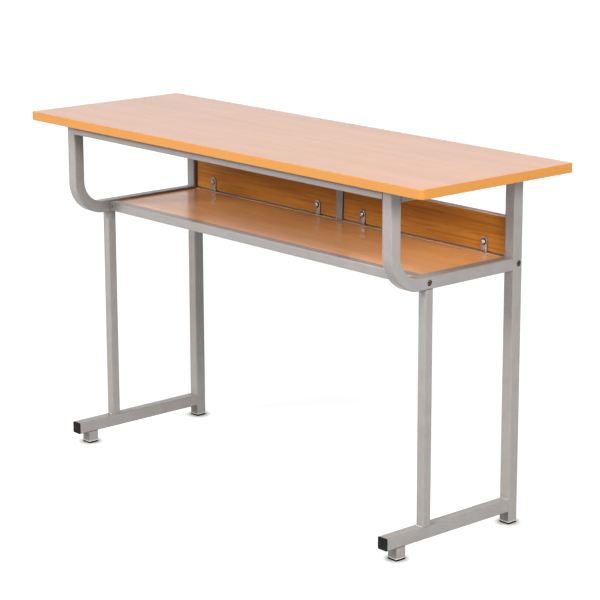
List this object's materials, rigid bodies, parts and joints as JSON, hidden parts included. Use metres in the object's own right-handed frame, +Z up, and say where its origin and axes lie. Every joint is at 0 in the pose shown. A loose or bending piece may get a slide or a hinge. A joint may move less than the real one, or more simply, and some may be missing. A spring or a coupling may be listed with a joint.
{
  "type": "school desk",
  "caption": "Long school desk with a laminated top, a bent square-tube frame on sled-like side feet, a book shelf and low back panels.",
  "frame": {"origin": "on the floor, under the middle of the desktop", "axes": "+X to the desk's right-hand end as seen from the seat, +Y from the seat to the back, +Z up"},
  "size_m": [1.2, 0.4, 0.73],
  "materials": {
    "laminate_top": "fine-grained beech-print laminate, satin",
    "edge_band": "orange-beige plastic edging, satin",
    "shelf_laminate": "orange-brown wood-print laminate, glossy",
    "panel_laminate": "orange-brown wood-print laminate, satin",
    "panel_band": "light pinkish plastic edging",
    "frame_paint": "light warm grey powder coat, satin",
    "zinc": "bright zinc plating",
    "dark_steel": "dark oiled steel",
    "black_plastic": "black moulded plastic, matte"
  },
  "bodies": {
    "root": {"centre_post": "frame_paint", "desktop_board": "laminate_top", "desktop_edge_band": "edge_band", "desktop_screws": "zinc", "front_desktop_lugs": "frame_paint", "front_rail_nut_blocks": "zinc", "front_shelf_rail": "frame_paint", "front_shelf_tabs": "frame_paint", "front_top_rail": "frame_paint", "left_back_panel": "panel_laminate", "left_bent_arm": "frame_paint", "left_bolt_bushes": "zinc", "left_foot_rail": "frame_paint", "left_foot_rail_plug": "black_plastic", "left_frame_bolts": "dark_steel", "left_front_foot_cap": "black_plastic", "left_front_foot_stub": "frame_paint", "left_front_leg": "frame_paint", "left_inner_panel_bracket": "zinc", "left_outer_panel_bracket": "zinc", "left_panel_edge_band": "panel_band", "left_rear_foot_cap": "black_plastic", "left_rear_leg": "frame_paint", "left_side_top_rail": "frame_paint", "panel_screws": "zinc", "rear_desktop_lugs": "frame_paint", "rear_rail_nut_blocks": "zinc", "rear_shelf_rail": "frame_paint", "rear_shelf_tabs": "frame_paint", "rear_top_rail": "frame_paint", "right_back_panel": "panel_laminate", "right_bent_arm": "frame_paint", "right_bolt_bushes": "zinc", "right_foot_rail": "frame_paint", "right_foot_rail_plug": "black_plastic", "right_frame_bolts": "dark_steel", "right_front_foot_cap": "black_plastic", "right_front_foot_stub": "frame_paint", "right_front_leg": "frame_paint", "right_inner_panel_bracket": "zinc", "right_outer_panel_bracket": "zinc", "right_panel_edge_band": "panel_band", "right_rear_foot_cap": "black_plastic", "right_rear_leg": "frame_paint", "right_side_top_rail": "frame_paint", "shelf_board": "shelf_laminate", "shelf_screws": "zinc", "side_desktop_lugs": "frame_paint"}
  },
  "joints": []
}
